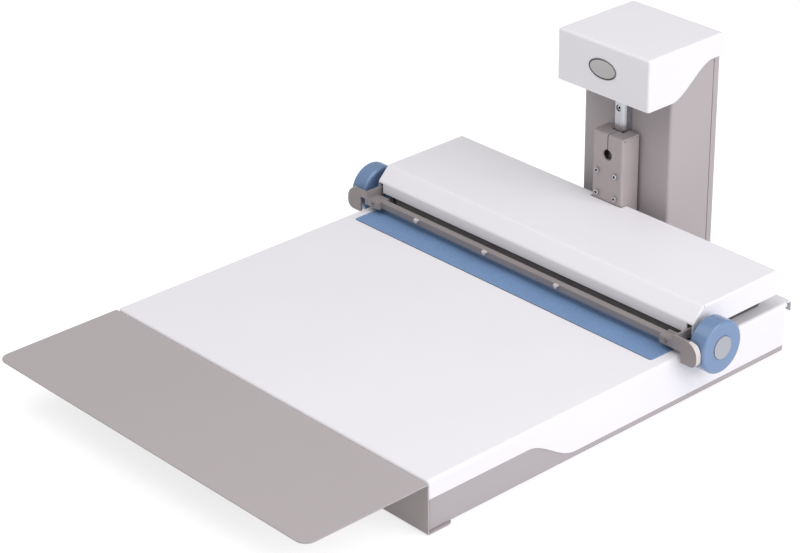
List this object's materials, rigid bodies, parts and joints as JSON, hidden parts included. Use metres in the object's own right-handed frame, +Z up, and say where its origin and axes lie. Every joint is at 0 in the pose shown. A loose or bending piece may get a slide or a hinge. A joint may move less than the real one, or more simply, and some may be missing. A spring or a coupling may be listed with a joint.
{
  "type": "bench-top sheet roller press",
  "caption": "Low sheet-steel work table with front leaf; a nip-roller head with side knobs and a lifting gauge bar rides a linear rail on a rear column with a head cover.",
  "frame": {"origin": "on the bench, under the middle of the whole footprint", "axes": "+X to the operator's right along the gauge bar, +Y from the front leaf to the column, +Z up"},
  "size_m": [0.504, 0.71, 0.2765],
  "materials": {
    "white_paint": "fine powder coat",
    "grey_paint": "fine powder coat",
    "dark_steel": "satin paint",
    "bright_steel": "ground and bright zinc",
    "cast_aluminium": "bead-blasted and anodised grey",
    "plate_aluminium": "satin, blank",
    "black_rubber": "matt",
    "blue_plastic": "satin moulding",
    "grey_plastic": "satin moulding",
    "blue_mat": "fine pebbled mat",
    "bronze": "sintered"
  },
  "bodies": {
    "base": {"chassis_tray": "grey_paint", "table_ribs": "grey_paint", "feet": "black_rubber", "column_feet": "black_rubber", "table_top": "white_paint", "work_pad": "blue_mat", "extension_leaf": "grey_paint", "leaf_screws": "bright_steel", "joining_plate": "dark_steel", "joining_bolts": "bright_steel", "column_shell": "grey_paint", "column_rear_cover": "grey_paint", "rear_cover_screws": "bright_steel", "column_base_plate": "dark_steel", "column_spine": "dark_steel", "column_top_plate": "dark_steel", "head_cover": "white_paint", "head_cover_screws": "bright_steel", "blank_oval_plate": "plate_aluminium", "linear_rail": "bright_steel", "rail_screws": "bright_steel", "upper_stop_bracket": "dark_steel", "stop_screws": "bright_steel", "upper_stop_buffer": "black_rubber", "lower_stop_buffers": "black_rubber"},
    "head": {"rail_carriage": "bright_steel", "slide_bracket": "cast_aluminium", "carriage_screws": "bright_steel", "cross_beam": "dark_steel", "beam_bolts": "bright_steel", "side_frame_left": "dark_steel", "side_frame_right": "dark_steel", "frame_screws": "bright_steel", "hood": "white_paint", "hood_screws": "bright_steel", "shaft_bushes": "bronze", "pivot_pins": "bright_steel"},
    "roller": {"cross_shaft": "bright_steel", "nip_roller": "black_rubber", "knob_left": "blue_plastic", "knob_right": "blue_plastic", "knob_cap_left": "grey_plastic", "knob_cap_right": "grey_plastic", "knob_set_screws": "bright_steel"},
    "gauge": {"gauge_bar": "cast_aluminium", "gauge_lever_left": "cast_aluminium", "gauge_lever_right": "cast_aluminium", "gauge_bar_screws": "bright_steel", "register_fingers": "cast_aluminium"}
  },
  "joints": [
    {"name": "head_lift", "type": "slide", "parent": "base", "child": "head", "axis": [0, 0, 1], "range_m": [0, 0.055]},
    {"name": "knob_turn", "type": "hinge", "parent": "head", "child": "roller", "pos_m": [0, 0.14935, 0.065], "axis": [1, 0, 0], "continuous": true},
    {"name": "gauge_bar_lift", "type": "hinge", "parent": "head", "child": "gauge", "pos_m": [0, 0.16115, 0.0766], "axis": [-1, 0, 0], "range_deg": [0, 8]}
  ]
}
